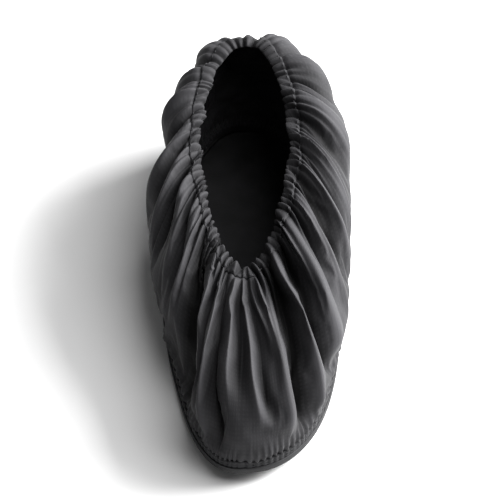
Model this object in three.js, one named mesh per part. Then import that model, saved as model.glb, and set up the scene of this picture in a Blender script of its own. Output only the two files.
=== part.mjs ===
// A washable cloth overshoe in the shape that it is worn in: a grip sole with a turned-up edge, a stitched
// band round it, a gathered cloth upper and the ruffled elastic casing of its mouth.
// Millimetres, +Z up, toe towards -Y. Columns of cloth run from the sole's edge up to the mouth.
import * as THREE from "three";

// Sole
const soleLength = 296; // toe tip to heel end, inside the turned-up edge
const soleBreadth = 114; // across the ball
const soleThickness = 2;
const soleEdgeHeight = 5.2; // top of the turned-up edge above the floor
const soleEdgeWall = 1.8;
const toeSpring = 9; // rise of the sole's tip
const toeSpringLength = 80; // length of sole that curves up
const toeLean = -2; // sideways lean of the tip, towards the big toe
const toeLeanShare = 0.18; // share of the sole's length that leans
const soleRoundness = 0.4; // power that rounds the ends of the sole, where 0.5 is an ellipse

// Stitched band between sole and upper
const bandHeight = 5.4;
const bandWall = 2;

// Upper
const clothWall = 1.2;
const mouthLength = 176;
const mouthBreadth = 54;
const mouthSetback = 106; // sole's tip to the front of the mouth
const mouthShift = 0; // sideways place of the mouth
const throatRoundness = 0.56; // power that rounds the front of the mouth
const backRoundness = 0.42; // and its back
const throatHeight = 70; // front of the mouth above the floor
const heelHeight = 90; // back of the mouth above the floor
const bulge = 35; // furthest that the cloth stands out past the sole
const foldDepth = 5.5; // height of a full fold

// Elastic casing
const casingWidth = 8;
const casingThickness = 3.2;
const gatherDepth = 1.2; // height of the fine gathers along the elastic
const gatherLength = 20; // how far they run down the upper
const gatherSteepness = 0.35; // their height, at most, as a share of the space between them

const seatGap = 0.3; // between pieces that are sewn to each other
const quarterColumns = 40;
const columns = 4 * quarterColumns;

// Half widths of the sole, as shares of half its breadth. at is the share of its length from the toe.
const soleTable = [
  { at: 0, right: 1, left: 0.7 },
  { at: 0.1, right: 1.03, left: 0.76 },
  { at: 0.22, right: 1.04, left: 0.79 },
  { at: 0.34, right: 1.03, left: 0.84 },
  { at: 0.48, right: 0.98, left: 0.88 },
  { at: 0.62, right: 0.92, left: 0.87 },
  { at: 0.76, right: 0.88, left: 0.83 },
  { at: 0.88, right: 0.86, left: 0.8 },
  { at: 1, right: 0.82, left: 0.76 },
];

// Edge of the mouth. half is a share of half its breadth, rise the share of the climb from throat to heel.
const mouthTable = [
  { at: 0, half: 0.84, rise: 0 },
  { at: 0.14, half: 0.92, rise: 0.35 },
  { at: 0.3, half: 0.96, rise: 0.65 },
  { at: 0.5, half: 1, rise: 0.8 },
  { at: 0.7, half: 0.96, rise: 0.9 },
  { at: 0.86, half: 0.93, rise: 1 },
  { at: 1, half: 0.86, rise: 1 },
];

// How a column stands. All are shares of bulge: right and left push the lower cloth out, lift is the height
// of that push, over_right and over_left carry the upper cloth out from the mouth, and crown is its rise over
// the mouth.
const standTable = [
  { at: 0, right: 0.11, left: 0.11, lift: 1.2, over_right: 1.49, over_left: 1.49, crown: -0.17 },
  { at: 0.1, right: 0.17, left: 0.12, lift: 1.09, over_right: 1.37, over_left: 1.37, crown: -0.09 },
  { at: 0.25, right: 0.45, left: 0.25, lift: 0.97, over_right: 1.43, over_left: 1.43, crown: 0.06 },
  { at: 0.42, right: 0.9, left: 0.85, lift: 0.86, over_right: 1.5, over_left: 1.4, crown: 0.17 },
  { at: 0.58, right: 1.28, left: 1.14, lift: 0.86, over_right: 1.6, over_left: 1.5, crown: 0.29 },
  { at: 0.74, right: 1.2, left: 0.62, lift: 0.91, over_right: 1.6, over_left: 1.15, crown: 0.37 },
  { at: 0.88, right: 0.9, left: 0.36, lift: 0.97, over_right: 1.25, over_left: 0.66, crown: 0.4 },
  { at: 1, right: 0.3, left: 0.3, lift: 0.97, over_right: 0.57, over_left: 0.57, crown: 0.34 },
];

// Folds, each a ridge or, with a negative height, a hollow. mouth, middle and hem are the shares of the way
// round, from the toe by the right side, where the fold meets the mouth, the middle of the column and the
// sole. width is a share of the way round, height of foldDepth, and ends is the share of the column where the
// fold has died out.
const foldTable = [
  { mouth: -0.002, middle: 0.014, hem: 0.03, width: 0.007, height: 1, ends: 0.12 },
  { mouth: 0.012, middle: 0.03, hem: 0.045, width: 0.007, height: -1, ends: 0.1 },
  { mouth: 0.02, middle: 0.05, hem: 0.08, width: 0.006, height: 0.8, ends: 0.45 },
  { mouth: 0.05, middle: 0.067, hem: 0.064, width: 0.011, height: 1, ends: 0.05 },
  { mouth: 0.083, middle: 0.093, hem: 0.092, width: 0.011, height: -1.3, ends: 0 },
  { mouth: 0.1, middle: 0.118, hem: 0.116, width: 0.009, height: 1.2, ends: 0 },
  { mouth: 0.123, middle: 0.139, hem: 0.15, width: 0.008, height: -1, ends: 0.2 },
  { mouth: 0.148, middle: 0.167, hem: 0.178, width: 0.014, height: 1, ends: 0.1 },
  { mouth: 0.192, middle: 0.2, hem: 0.205, width: 0.008, height: 0.7, ends: 0.3 },
  { mouth: 0.222, middle: 0.226, hem: 0.225, width: 0.009, height: -1, ends: 0.2 },
  { mouth: 0.24, middle: 0.246, hem: 0.245, width: 0.008, height: 0.8, ends: 0.25 },
  { mouth: 0.258, middle: 0.262, hem: 0.262, width: 0.007, height: -0.8, ends: 0.3 },
  { mouth: 0.278, middle: 0.274, hem: 0.272, width: 0.009, height: 0.9, ends: 0.3 },
  { mouth: 0.3, middle: 0.318, hem: 0.33, width: 0.01, height: -0.9, ends: 0.4 },
  { mouth: 0.335, middle: 0.34, hem: 0.345, width: 0.016, height: 0.9, ends: 0.35 },
  { mouth: 0.366, middle: 0.366, hem: 0.366, width: 0.007, height: -1, ends: 0.55 },
  { mouth: 0.395, middle: 0.392, hem: 0.39, width: 0.015, height: 0.8, ends: 0.45 },
  { mouth: 0.43, middle: 0.428, hem: 0.425, width: 0.008, height: -0.6, ends: 0.55 },
  { mouth: 0.458, middle: 0.456, hem: 0.455, width: 0.011, height: 0.5, ends: 0.5 },
  { mouth: 0.497, middle: 0.497, hem: 0.497, width: 0.011, height: 0.5, ends: 0.5 },
  { mouth: 0.535, middle: 0.535, hem: 0.535, width: 0.011, height: 0.5, ends: 0.5 },
  { mouth: 0.576, middle: 0.574, hem: 0.572, width: 0.01, height: 0.5, ends: 0.5 },
  { mouth: 0.603, middle: 0.6, hem: 0.598, width: 0.007, height: -0.6, ends: 0.5 },
  { mouth: 0.623, middle: 0.621, hem: 0.62, width: 0.011, height: 0.9, ends: 0.35 },
  { mouth: 0.656, middle: 0.652, hem: 0.648, width: 0.017, height: 1.3, ends: 0.4 },
  { mouth: 0.686, middle: 0.679, hem: 0.672, width: 0.008, height: -1.4, ends: 0.25 },
  { mouth: 0.701, middle: 0.703, hem: 0.705, width: 0.008, height: 0.7, ends: 0.3 },
  { mouth: 0.716, middle: 0.722, hem: 0.728, width: 0.008, height: -0.8, ends: 0.35 },
  { mouth: 0.734, middle: 0.743, hem: 0.75, width: 0.009, height: 0.7, ends: 0.3 },
  { mouth: 0.752, middle: 0.764, hem: 0.775, width: 0.008, height: -0.7, ends: 0.35 },
  { mouth: 0.77, middle: 0.79, hem: 0.808, width: 0.009, height: 0.8, ends: 0.3 },
  { mouth: 0.815, middle: 0.824, hem: 0.835, width: 0.012, height: 0.8, ends: 0.15 },
  { mouth: 0.856, middle: 0.857, hem: 0.865, width: 0.011, height: -1.2, ends: 0.05 },
  { mouth: 0.884, middle: 0.886, hem: 0.888, width: 0.007, height: 0.5, ends: 0.45 },
  { mouth: 0.899, middle: 0.899, hem: 0.902, width: 0.006, height: -0.5, ends: 0.4 },
  { mouth: 0.914, middle: 0.912, hem: 0.932, width: 0.007, height: 1.1, ends: 0 },
  { mouth: 0.938, middle: 0.937, hem: 0.97, width: 0.009, height: -1.2, ends: 0 },
  { mouth: 0.958, middle: 0.967, hem: 0.99, width: 0.009, height: 0.9, ends: 0.2 },
  { mouth: 0.986, middle: 0.993, hem: 1.003, width: 0.007, height: -0.8, ends: 0.25 },
];
const foldStart = 0.3; // share of a column over which a fold grows from its end
const foldAtMouth = 0.3; // share of a fold's height that the elastic leaves at the mouth
const elasticReach = 0.25; // share of a column, from the mouth, that the elastic draws flat
const foldSteepness = 1.1; // a fold's height, at most, as a share of its width

// Rows of the upper, as shares of the cloth from the sole's edge to the casing
const rowShares = [0, 0.06, 0.15, 0.26, 0.38, 0.5, 0.62, 0.73, 0.83, 0.92, 1];
const arcSteps = 48; // steps that measure the length of a column
const sharpTurn = 0.25; // share of a column's space over which the sole's outline is felt for its direction

const bandFloor = soleEdgeHeight + seatGap;
const hemHeight = bandFloor + bandHeight + seatGap;

const clamp = THREE.MathUtils.clamp;
const smoothstep = THREE.MathUtils.smoothstep;

// A smooth curve through the rows of a table, read at a share of the length.
function read(table, key, at) {
  const last = table.length - 1;
  const k = clamp(table.findLastIndex((row) => row.at <= at), 0, last - 1);
  const [a, b] = [table[k], table[k + 1]];
  const before = table[Math.max(k - 1, 0)];
  const after = table[Math.min(k + 2, last)];
  const span = b.at - a.at;
  const slopeA = (b[key] - before[key]) / (b.at - before.at);
  const slopeB = (after[key] - a[key]) / (after.at - a.at);
  const s = clamp((at - a.at) / span, 0, 1);
  const [s2, s3] = [s * s, s * s * s];
  return (
    (2 * s3 - 3 * s2 + 1) * a[key] +
    (s3 - 2 * s2 + s) * span * slopeA +
    (3 * s2 - 2 * s3) * b[key] +
    (s3 - s2) * span * slopeB
  );
}

// Where a column stands: its share of the length from the toe, and its side. round runs from 0 to 1.
function station(round) {
  const turn = THREE.MathUtils.euclideanModulo(round, 1);
  const half = turn <= 0.5 ? 2 * turn : 2 - 2 * turn;
  return { at: (1 - Math.cos(Math.PI * half)) / 2, side: turn <= 0.5 ? 1 : -1 };
}

function sideKey(side, right, left) {
  return side > 0 ? right : left;
}

// Height of the sole's underside, which is flat but for the sprung toe.
function springAt(y) {
  const into = clamp((toeSpringLength - soleLength / 2 - y) / toeSpringLength, 0, 1);
  return toeSpring * into * into;
}

// A point of the sole's outline, moved out by an offset, at a height above the sole's underside.
function outline(round, offset, height) {
  const plain = (turn) => {
    const { at, side } = station(turn);
    const endRounding = Math.pow(4 * at * (1 - at), soleRoundness);
    const half = (soleBreadth / 2) * read(soleTable, sideKey(side, "right", "left"), at);
    const lean = toeLean * Math.pow(clamp(1 - at / toeLeanShare, 0, 1), 2);
    return new THREE.Vector2(side * endRounding * half + lean, soleLength * (at - 0.5));
  };
  const step = sharpTurn / columns;
  const along = plain(round + step).sub(plain(round - step)).normalize();
  const point = plain(round);
  const x = point.x + along.y * offset;
  const y = point.y - along.x * offset;
  return new THREE.Vector3(x, y, height + springAt(point.y));
}

// A point of the mouth's edge.
function mouthEdge(round) {
  const { at, side } = station(round);
  const power = THREE.MathUtils.lerp(throatRoundness, backRoundness, clamp(2 * at, 0, 1));
  const half = (mouthBreadth / 2) * read(mouthTable, "half", at) * Math.pow(4 * at * (1 - at), power);
  const y = mouthSetback - soleLength / 2 + mouthLength * at;
  const z = THREE.MathUtils.lerp(throatHeight, heelHeight, read(mouthTable, "rise", at));
  return new THREE.Vector3(side * half + mouthShift, y, z);
}

// The smooth cloth of one column, from the sole's edge over the bulge to the mouth.
function columnCurve(round) {
  const { at, side } = station(round);
  const hem = outline(round, 0, hemHeight);
  const mouth = mouthEdge(round);
  const out = hem.clone().sub(mouth).setZ(0).normalize();
  const push = bulge * read(standTable, sideKey(side, "right", "left"), at);
  const over = bulge * read(standTable, sideKey(side, "over_right", "over_left"), at);
  const low = hem.clone().addScaledVector(out, push);
  low.z += bulge * read(standTable, "lift", at);
  const high = mouth.clone().addScaledVector(out, over);
  high.z += bulge * read(standTable, "crown", at);
  const curve = new THREE.CubicBezierCurve3(hem, low, high, mouth);
  curve.arcLengthDivisions = arcSteps;
  return curve;
}

// Height of the folds over the smooth cloth. up is the share of the column from the sole.
function foldHeight(column, up) {
  const round = column / columns;
  const wayRound = shareDistance(column, up) * columns;
  let height = 0;
  for (const fold of foldTable) {
    const lower = (fold.middle - fold.hem) * smoothstep(up, 0, 0.5);
    const upper = (fold.mouth - fold.middle) * smoothstep(up, 0.5, 1);
    const away = THREE.MathUtils.euclideanModulo(round - fold.hem - lower - upper + 0.5, 1) - 0.5;
    const ridge = Math.exp(-Math.pow(away / fold.width, 2));
    const most = foldSteepness * fold.width * wayRound;
    const full = clamp(foldDepth * fold.height, -most, most);
    height += full * ridge * smoothstep(up, fold.ends, fold.ends + foldStart);
  }
  return height * THREE.MathUtils.lerp(1, foldAtMouth, smoothstep(up, 1 - elasticReach, 1));
}

// Height of the fine gathers, which alternate from column to column and die out below the casing.
function gatherHeight(column, down) {
  const side = column % 2 === 0 ? 1 : -1;
  const depth = Math.min(gatherDepth, gatherSteepness * 2 * shareDistance(column, 1));
  return side * depth * Math.exp(-Math.pow(down / gatherLength, 2));
}

// The columns' curves and their lengths.
const curves = Array.from({ length: columns }, (_, i) => columnCurve(i / columns));
const lengths = curves.map((curve) => curve.getLength());

function wrap(column) {
  return THREE.MathUtils.euclideanModulo(column, columns);
}

// A point of the smooth cloth at a distance below the mouth, measured along it.
function smoothPoint(column, down) {
  const i = wrap(column);
  return curves[i].getPointAt(clamp(1 - down / lengths[i], 0, 1));
}

// Space from column to column at a share of their length.
function shareDistance(column, up) {
  const share = clamp(up, 0, 1);
  const before = curves[wrap(column - 1)].getPointAt(share);
  return before.distanceTo(curves[wrap(column + 1)].getPointAt(share)) / 2;
}

// The direction that the smooth cloth faces there.
function outward(column, down) {
  const near = clothWall / 2;
  const below = down > lengths[wrap(column)] / 2;
  const across = smoothPoint(column + 1, down).sub(smoothPoint(column - 1, down));
  const up = below
    ? smoothPoint(column, down - near).sub(smoothPoint(column, down))
    : smoothPoint(column, down).sub(smoothPoint(column, down + near));
  return across.cross(up).normalize();
}

// A point of the folded cloth's outer face.
function clothPoint(column, down) {
  const up = 1 - down / lengths[wrap(column)];
  const height = foldHeight(column, up) + gatherHeight(column, down);
  return smoothPoint(column, down).addScaledVector(outward(column, down), height);
}

// A closed ring whose sections, one to a column, are closed rows of points.
function ringGeometry(sections) {
  const size = sections[0].length;
  const points = sections.flat();
  const faces = [];
  sections.forEach((section, i) => {
    const next = (i + 1) % sections.length;
    section.forEach((_, j) => {
      const over = (j + 1) % size;
      const [a, b] = [i * size + j, next * size + j];
      const [c, d] = [next * size + over, i * size + over];
      faces.push(a, b, c, a, c, d);
    });
  });
  return meshGeometry(points, faces);
}

function meshGeometry(points, faces) {
  const flat = points.flatMap((point) => point.toArray());
  const geometry = new THREE.BufferGeometry();
  geometry.setAttribute("position", new THREE.Float32BufferAttribute(flat, 3));
  geometry.setIndex(faces);
  geometry.computeVertexNormals();
  return geometry;
}

// The upper: the folded outer face, and an inner face one cloth wall inside it. Its top row keeps square to
// the column, so it stays clear of the casing.
function upperGeometry() {
  const under = casingWidth + seatGap;
  const downAt = (i, share) => under + (1 - share) * (lengths[i] - under);
  const outer = curves.map((_, i) => rowShares.map((share) => clothPoint(i, downAt(i, share))));
  const lastRow = rowShares.length - 1;
  const sections = outer.map((rows, i) => {
    const [before, after] = [outer[(i + columns - 1) % columns], outer[(i + 1) % columns]];
    const inner = rows.map((point, j) => {
      const across = after[j].clone().sub(before[j]);
      const up = rows[Math.min(j + 1, lastRow)].clone().sub(rows[Math.max(j - 1, 0)]);
      const inward = j === lastRow ? outward(i, under) : across.cross(up).normalize();
      return point.clone().addScaledVector(inward, -clothWall);
    });
    return [...rows, ...inner.reverse()];
  });
  return ringGeometry(sections);
}

// The casing's section. down is a share of its width below the mouth, out a share of its thickness.
const casingSection = [
  { down: 1, out: 0 },
  { down: 0.55, out: 0.25 },
  { down: 0.08, out: 0.05 },
  { down: 0.08, out: -0.55 },
  { down: 0.55, out: -0.75 },
  { down: 1, out: -0.6 },
];

function casingGeometry() {
  const sections = curves.map((_, i) =>
    casingSection.map(({ down, out }) => {
      const below = down * casingWidth;
      return clothPoint(i, below).addScaledVector(outward(i, below), out * casingThickness);
    }),
  );
  return ringGeometry(sections);
}

function bandGeometry() {
  const [inside, outside] = [-bandWall / 2, bandWall / 2];
  const [bottom, top] = [bandFloor, bandFloor + bandHeight];
  const sections = curves.map((_, i) => [
    outline(i / columns, outside, bottom),
    outline(i / columns, outside, top),
    outline(i / columns, inside, top),
    outline(i / columns, inside, bottom),
  ]);
  return ringGeometry(sections);
}

// The sole: a tray of four outline loops, closed below and inside by strips that run from side to side.
function soleGeometry() {
  const loops = [
    { offset: soleEdgeWall, height: 0 },
    { offset: soleEdgeWall, height: soleEdgeHeight },
    { offset: 0, height: soleEdgeHeight },
    { offset: 0, height: soleThickness },
  ];
  const points = loops.flatMap(({ offset, height }) =>
    curves.map((_, i) => outline(i / columns, offset, height)),
  );
  const faces = [];
  for (let loop = 0; loop + 1 < loops.length; loop += 1) {
    for (let i = 0; i < columns; i += 1) {
      const next = (i + 1) % columns;
      const [a, b] = [loop * columns + i, loop * columns + next];
      const [c, d] = [b + columns, a + columns];
      faces.push(a, b, c, a, c, d);
    }
  }
  const strips = (first, facesUp) => {
    for (let i = 0; i < columns / 2; i += 1) {
      const [a, b] = [first + i, first + i + 1];
      const [c, d] = [first + ((columns - i - 1) % columns), first + ((columns - i) % columns)];
      const quad = facesUp ? [a, b, c, a, c, d] : [a, c, b, a, d, c];
      for (let k = 0; k < quad.length; k += 3) {
        const triangle = quad.slice(k, k + 3);
        if (new Set(triangle).size === 3) faces.push(...triangle);
      }
    }
  };
  strips(0, false);
  strips((loops.length - 1) * columns, true);
  return meshGeometry(points, faces);
}

function piece(name, geometry, color, roughness) {
  const material = new THREE.MeshStandardMaterial({ color, roughness, metalness: 0 });
  const mesh = new THREE.Mesh(geometry, material);
  mesh.name = name;
  return mesh;
}

const overshoe = new THREE.Group();
overshoe.add(
  piece("upper", upperGeometry(), 0x2b2b2f, 0.62),
  piece("elastic_casing", casingGeometry(), 0x2b2b2f, 0.62),
  piece("seam_band", bandGeometry(), 0x222225, 0.7),
  piece("sole", soleGeometry(), 0x151517, 0.85),
);

// The frame's origin is the middle of the overshoe's box, on the floor.
const box = new THREE.Box3().setFromObject(overshoe);
const centre = box.getCenter(new THREE.Vector3());
overshoe.position.set(-centre.x, -centre.y, -box.min.z);

export default overshoe;
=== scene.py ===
"""A washable cloth overshoe: gathered upper, ruffled casing, stitched band and grip sole, on a stage."""
import math

import bpy
import numpy as np
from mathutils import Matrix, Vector, noise


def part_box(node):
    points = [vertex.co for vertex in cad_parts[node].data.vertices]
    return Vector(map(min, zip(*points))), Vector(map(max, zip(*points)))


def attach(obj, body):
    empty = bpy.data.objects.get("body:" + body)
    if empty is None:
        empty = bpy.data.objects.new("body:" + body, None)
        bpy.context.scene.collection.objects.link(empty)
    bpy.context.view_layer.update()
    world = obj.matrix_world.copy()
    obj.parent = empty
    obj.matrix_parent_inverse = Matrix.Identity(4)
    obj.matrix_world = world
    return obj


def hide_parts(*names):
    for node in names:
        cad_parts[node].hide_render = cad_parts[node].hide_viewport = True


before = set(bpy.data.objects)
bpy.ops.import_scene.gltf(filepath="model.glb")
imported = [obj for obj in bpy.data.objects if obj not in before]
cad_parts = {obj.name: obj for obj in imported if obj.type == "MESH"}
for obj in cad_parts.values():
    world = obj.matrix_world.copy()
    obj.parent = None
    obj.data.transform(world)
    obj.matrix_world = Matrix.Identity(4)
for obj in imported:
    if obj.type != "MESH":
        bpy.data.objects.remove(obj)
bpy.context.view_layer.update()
SOLE_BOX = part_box("sole")

bl_info = {
    "name": "Cloth Overshoe",
    "version": (1, 0, 0),
    "blender": (4, 5, 0),
    "location": "View3D > Sidebar > Overshoe",
    "description": "Builds a gathered cloth overshoe with a grip sole, and a plain stage for it",
    "category": "Add Mesh",
}

# Half widths of the sole, as shares of half its breadth. at is the share of its length from the toe.
SOLE_TABLE = {
    "at": [0, 0.1, 0.22, 0.34, 0.48, 0.62, 0.76, 0.88, 1],
    "right": [1, 1.03, 1.04, 1.03, 0.98, 0.92, 0.88, 0.86, 0.82],
    "left": [0.7, 0.76, 0.79, 0.84, 0.88, 0.87, 0.83, 0.8, 0.76],
}

# Edge of the mouth. half is a share of half its breadth, rise the share of the climb from throat to heel.
MOUTH_TABLE = {
    "at": [0, 0.14, 0.3, 0.5, 0.7, 0.86, 1],
    "half": [0.84, 0.92, 0.96, 1, 0.96, 0.93, 0.86],
    "rise": [0, 0.35, 0.65, 0.8, 0.9, 1, 1],
}

# How a column of cloth stands, as shares of the bulge. right and left push its lower part out, and lift is
# the height of that push. over_right and over_left carry its upper part out from the mouth, and crown lifts
# it there.
STAND_TABLE = {
    "at": [0, 0.1, 0.25, 0.42, 0.58, 0.74, 0.88, 1],
    "right": [0.11, 0.17, 0.45, 0.9, 1.28, 1.2, 0.9, 0.3],
    "left": [0.11, 0.12, 0.25, 0.78, 1.02, 0.6, 0.36, 0.3],
    "lift": [1.2, 1.09, 0.97, 0.86, 0.86, 0.91, 0.97, 0.97],
    "over_right": [1.49, 1.37, 1.43, 1.5, 1.6, 1.6, 1.25, 0.57],
    "over_left": [1.49, 1.37, 1.43, 1.4, 1.5, 1.15, 0.66, 0.57],
    "crown": [-0.17, -0.09, 0.06, 0.17, 0.29, 0.37, 0.4, 0.34],
}

# Folds: the share of the way round, from the toe by the right side, where each meets the mouth, the middle
# of the column and the hem. Then its width as a share of the way round, its height as a share of the fold
# depth (negative for a hollow), the share of the column where it has died out, and how far its crest leans,
# as a share of its height.
FOLDS = [
    (-0.002, 0.014, 0.03, 0.007, 1.0, 0.12, -0.3),
    (0.012, 0.03, 0.042, 0.008, -1.4, 0.14, 0.0),
    (0.02, 0.05, 0.08, 0.006, 0.8, 0.45, -0.2),
    (0.036, 0.054, 0.06, 0.005, -0.7, 0.6, 0.0),
    (0.05, 0.067, 0.064, 0.011, 1.0, 0.05, -0.3),
    (0.083, 0.093, 0.092, 0.011, -1.7, 0.0, 0.0),
    (0.1, 0.118, 0.116, 0.009, 1.2, 0.0, -0.4),
    (0.123, 0.139, 0.15, 0.009, -1.5, 0.1, 0.0),
    (0.148, 0.167, 0.178, 0.014, 1.0, 0.1, -0.3),
    (0.174, 0.184, 0.192, 0.006, -0.5, 0.35, 0.0),
    (0.192, 0.2, 0.205, 0.008, 0.7, 0.3, -0.2),
    (0.222, 0.226, 0.225, 0.009, -1.1, 0.2, 0.0),
    (0.24, 0.246, 0.245, 0.008, 0.8, 0.25, -0.2),
    (0.258, 0.262, 0.262, 0.007, -0.9, 0.3, 0.0),
    (0.278, 0.274, 0.272, 0.009, 0.9, 0.3, -0.2),
    (0.3, 0.318, 0.33, 0.01, -0.9, 0.4, 0.0),
    (0.335, 0.34, 0.345, 0.016, 0.9, 0.35, 0.0),
    (0.35, 0.352, 0.353, 0.005, -0.6, 0.65, 0.0),
    (0.366, 0.366, 0.366, 0.006, -1.1, 0.55, 0.0),
    (0.383, 0.381, 0.38, 0.005, -0.6, 0.62, 0.0),
    (0.395, 0.392, 0.39, 0.015, 0.5, 0.45, 0.0),
    (0.412, 0.41, 0.409, 0.005, -0.3, 0.64, 0.0),
    (0.43, 0.428, 0.425, 0.006, -0.2, 0.6, 0.0),
    (0.446, 0.444, 0.442, 0.022, 1.1, 0.5, 0.0),
    (0.497, 0.497, 0.497, 0.011, 0.5, 0.5, 0.0),
    (0.535, 0.535, 0.535, 0.014, 0.8, 0.5, 0.0),
    (0.57, 0.569, 0.568, 0.022, 1.2, 0.5, 0.0),
    (0.603, 0.6, 0.598, 0.007, -0.7, 0.5, 0.0),
    (0.623, 0.621, 0.62, 0.011, 0.9, 0.35, 0.0),
    (0.639, 0.637, 0.635, 0.005, -0.6, 0.55, 0.0),
    (0.656, 0.652, 0.648, 0.017, 1.3, 0.4, 0.0),
    (0.664, 0.661, 0.659, 0.005, -0.7, 0.58, 0.0),
    (0.686, 0.679, 0.672, 0.008, -1.9, 0.2, 0.0),
    (0.701, 0.703, 0.705, 0.008, 0.8, 0.25, 0.2),
    (0.716, 0.722, 0.728, 0.008, -1.1, 0.3, 0.0),
    (0.734, 0.743, 0.75, 0.009, 0.7, 0.3, 0.2),
    (0.752, 0.764, 0.775, 0.008, -1.1, 0.3, 0.0),
    (0.77, 0.79, 0.808, 0.009, 0.8, 0.3, 0.2),
    (0.795, 0.807, 0.82, 0.007, -0.9, 0.3, 0.0),
    (0.815, 0.824, 0.835, 0.012, 0.8, 0.15, 0.2),
    (0.856, 0.857, 0.866, 0.015, -2.1, 0.0, 0.0),
    (0.884, 0.886, 0.888, 0.007, 0.6, 0.4, 0.2),
    (0.899, 0.899, 0.902, 0.006, -0.6, 0.4, 0.0),
    (0.914, 0.912, 0.932, 0.007, 1.1, 0.0, 0.3),
    (0.938, 0.937, 0.965, 0.01, -1.8, 0.0, 0.0),
    (0.958, 0.967, 0.99, 0.009, 0.9, 0.2, 0.2),
    (0.986, 0.993, 1.003, 0.008, -1.2, 0.22, 0.0),
]

# Ruffles: how many of the finest merge into one, their depth and reach as shares of the casing's sizes, how
# far below the mouth they start, and the seed of their unevenness.
GATHERS = [
    (1, 1.0, 1.0, 0.0, 11),
    (2, 0.85, 1.7, 0.012, 23),
    (4, 0.8, 2.6, 0.02, 37),
]

# The band's section: places across its wall, as shares of it, and up its height.
BAND_SECTION = [
    (0.4, 0.0), (0.5, 0.12), (0.5, 0.35), (0.5, 0.6), (0.5, 0.85), (0.4, 0.97),
    (0.1, 1.0), (-0.3, 0.98), (-0.5, 0.9), (-0.5, 0.5), (-0.5, 0.1), (-0.3, 0.0),
]

# How finely the pieces are stepped.
UPPER_COLUMNS = 752
UPPER_ROWS = 64
CASING_COLUMNS = 1504
CASING_SIDES = 18
BAND_COLUMNS = 640
SOLE_COLUMNS = 240
SPRING_STEPS = 24
THREAD_SIDES = 6
DOT_SIDES = 8

# How finely lines are stepped where lengths along them are measured.
ARC_STEPS = 96
EDGE_STEPS = 4096
HEM_STEPS = 800
STITCH_STEPS = 4000

# Frames that the cloth simulation runs.
RELAX_FRAMES = 16

# Share of the way round between a place and the ones that give its direction.
TURN_STEP = 0.0015

# Lengths in metres: how deep the cloth's lower edge sits in the band, how deep the band's does in the sole,
# the thickness of one thread of the weave, the rounding of the sole's edges, and how far the dots keep from
# the hem.
HEM_TUCK = 0.0015
BAND_TUCK = 0.0004
WEAVE_THREAD = 0.00042
SOLE_ROUNDING = 0.0006
DOT_MARGIN = 0.0035

# The ruffles: how far in metres each runs squarely from the mouth's edge before it turns down the column,
# how round its crease is, and the level of its curve that lies on the smooth cloth.
RUFFLE_BEND = 0.012
CREASE_ROUNDING = 0.02
CREASE_LEVEL = 0.62

# The casing's tube, in metres: how far a ruffle moves its edge, and swells its outer and its inner face.
EDGE_SWAY = 0.0007
OUTER_SWELL = 0.0006
INNER_SWELL = -0.0012

# The groove that the casing's stitches draw into the upper, and how far the upper sinks inside the casing,
# in metres.
GROOVE_DEPTH = 0.0008
GROOVE_WIDTH = 0.0018
CASING_SINK = 0.0006

# Small forms of the upper, in metres: the height and length of its soft unevenness, the height and reach of
# the puckers over the band, and the height, place and spread of its overhang there. The radius of the loop
# through the noise says how often the unevenness changes on the way round.
SOFT_HEIGHT = 0.0009
SOFT_LENGTH = 0.03
SOFT_RADIUS = 5.5
PUCKER_HEIGHT = 0.0007
PUCKER_REACH = 0.009
OVERHANG_HEIGHT = 0.0011
OVERHANG_PLACE = 0.006
OVERHANG_SPREAD = 0.004

# Angle in degrees past which an edge of the sole stays sharp.
SHARP_ANGLE = 40

# The photo's camera: its height over the floor in degrees, its distance and target in metres, and its lens
# and sensor in millimetres.
CAMERA_ELEVATION = 46
CAMERA_DISTANCE = 1.3
CAMERA_TARGET = (0.0, -0.003, 0.042)
CAMERA_LENS = 152
CAMERA_SENSOR = 36

# The lamps: name, place, size and power. They face the lamp target.
LAMPS = [
    ("key", (1.2, 0.4, 0.75), 1.0, 88),
    ("top", (0.8, 0.0, 1.6), 1.6, 32),
]
LAMP_TARGET = (0, 0, 0.05)
WORLD_STRENGTH = 0.12
FLOOR_SIZE = 14


def length_size(name, description, default):
    """A length in metres that the panel shows."""
    return bpy.props.FloatProperty(
        name=name, description=description, default=default, unit="LENGTH", subtype="DISTANCE")


def finish_colour(name, description, default):
    """A colour that the panel shows."""
    return bpy.props.FloatVectorProperty(
        name=name, description=description, default=default, subtype="COLOR", size=3, min=0, max=1)


class SoleSizes(bpy.types.PropertyGroup):
    """Sizes of the grip sole."""

    length: length_size("Length", "Toe tip to heel end, inside the turned-up edge", 0.296)
    breadth: length_size("Breadth", "Across the ball", 0.114)
    roundness: bpy.props.FloatProperty(
        name="Roundness", description="Power that rounds the ends, 0.5 for an ellipse", default=0.4)
    lean: length_size("Toe lean", "Sideways lean of the tip", -0.002)
    thickness: length_size("Thickness", "Thickness of the panel", 0.002)
    edge_height: length_size("Edge height", "Top of the turned-up edge", 0.0052)
    edge_wall: length_size("Edge wall", "Wall of the turned-up edge", 0.0018)
    spring: length_size("Toe spring", "Rise of the tip", 0.009)
    spring_length: length_size("Spring length", "Length that curves up", 0.08)
    dot_pitch: length_size("Dot pitch", "Space from grip dot to grip dot", 0.0036)
    dot_width: length_size("Dot width", "Width of a grip dot", 0.002)
    dot_height: length_size("Dot height", "Height of a grip dot", 0.0005)


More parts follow.
